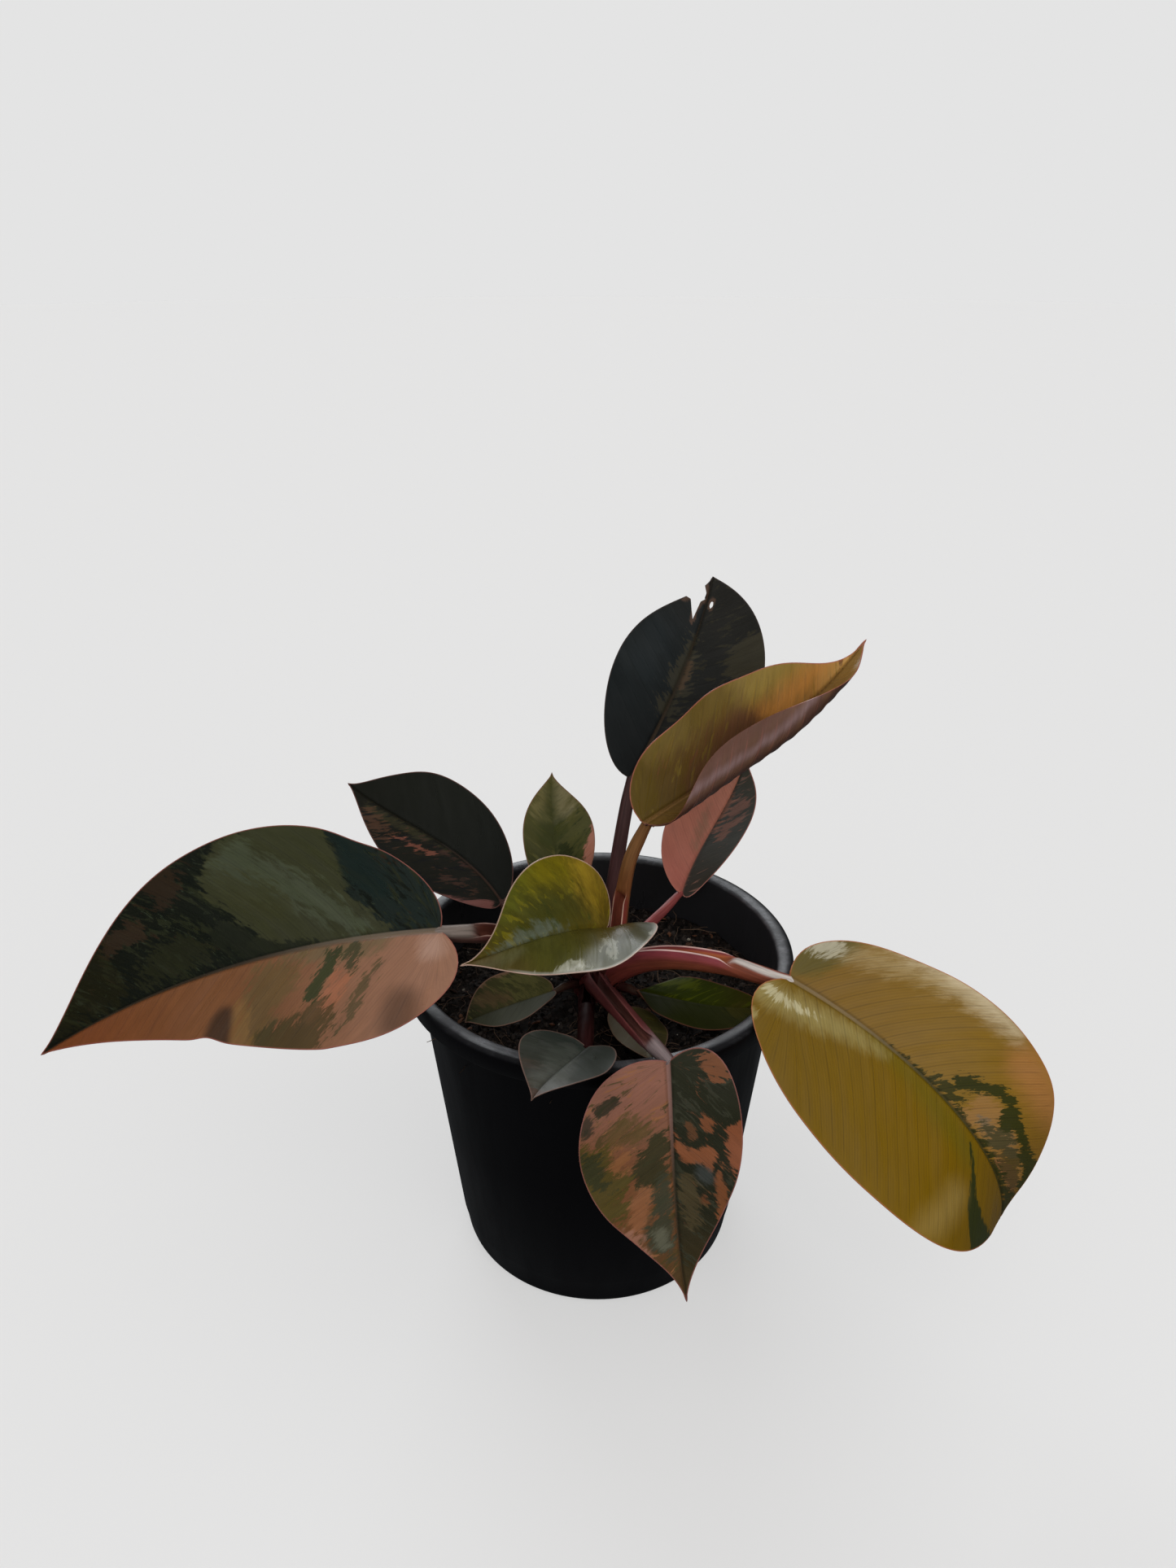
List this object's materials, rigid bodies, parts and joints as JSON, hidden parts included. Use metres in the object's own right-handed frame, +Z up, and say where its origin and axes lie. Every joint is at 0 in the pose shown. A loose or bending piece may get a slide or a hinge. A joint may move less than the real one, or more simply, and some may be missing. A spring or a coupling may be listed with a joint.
{
  "type": "potted variegated philodendron plant",
  "caption": "Variegated philodendron in a round tapered grower pot, with heart-shaped pink, golden and dark green leaves on long red stalks over dark soil.",
  "frame": {"origin": "centre of the pot's underside, on the surface that the pot stands on", "axes": "+Z up along the pot's axis; -Y is the front, the side that the picture looks at; +X to the right seen from the front"},
  "size_m": [0.34, 0.1629, 0.2455],
  "materials": {
    "black_plastic": "moulded, faint sheen",
    "soil": "loose, crumbly, moist",
    "stem": "dry sheaths over a fleshy stem",
    "stalk": "smooth, slightly glossy",
    "leaf_green": "waxy, slightly glossy",
    "leaf_golden": "waxy, slightly glossy",
    "leaf_pink": "waxy, slightly glossy"
  },
  "bodies": {
    "root": {"pot": "black_plastic", "soil": "soil", "stem": "stem", "petiole_left_large": "stalk", "petiole_back_left": "stalk", "petiole_upright_small": "stalk", "petiole_tall_torn": "stalk", "petiole_centre_folded": "stalk", "petiole_high_right": "stalk", "petiole_back_right": "stalk", "petiole_right_large": "stalk", "petiole_front": "stalk", "petiole_front_small": "stalk", "petiole_left_small": "stalk", "petiole_right_small": "stalk", "petiole_front_low": "stalk", "blade_left_large": "leaf_pink", "blade_back_left": "leaf_green", "blade_upright_small": "leaf_green", "blade_tall_torn": "leaf_green", "blade_centre_folded": "leaf_green", "blade_high_right": "leaf_golden", "blade_back_right": "leaf_pink", "blade_right_large": "leaf_golden", "blade_front": "leaf_pink", "blade_front_small": "leaf_green", "blade_left_small": "leaf_green", "blade_right_small": "leaf_green", "blade_front_low": "leaf_green"}
  },
  "joints": []
}
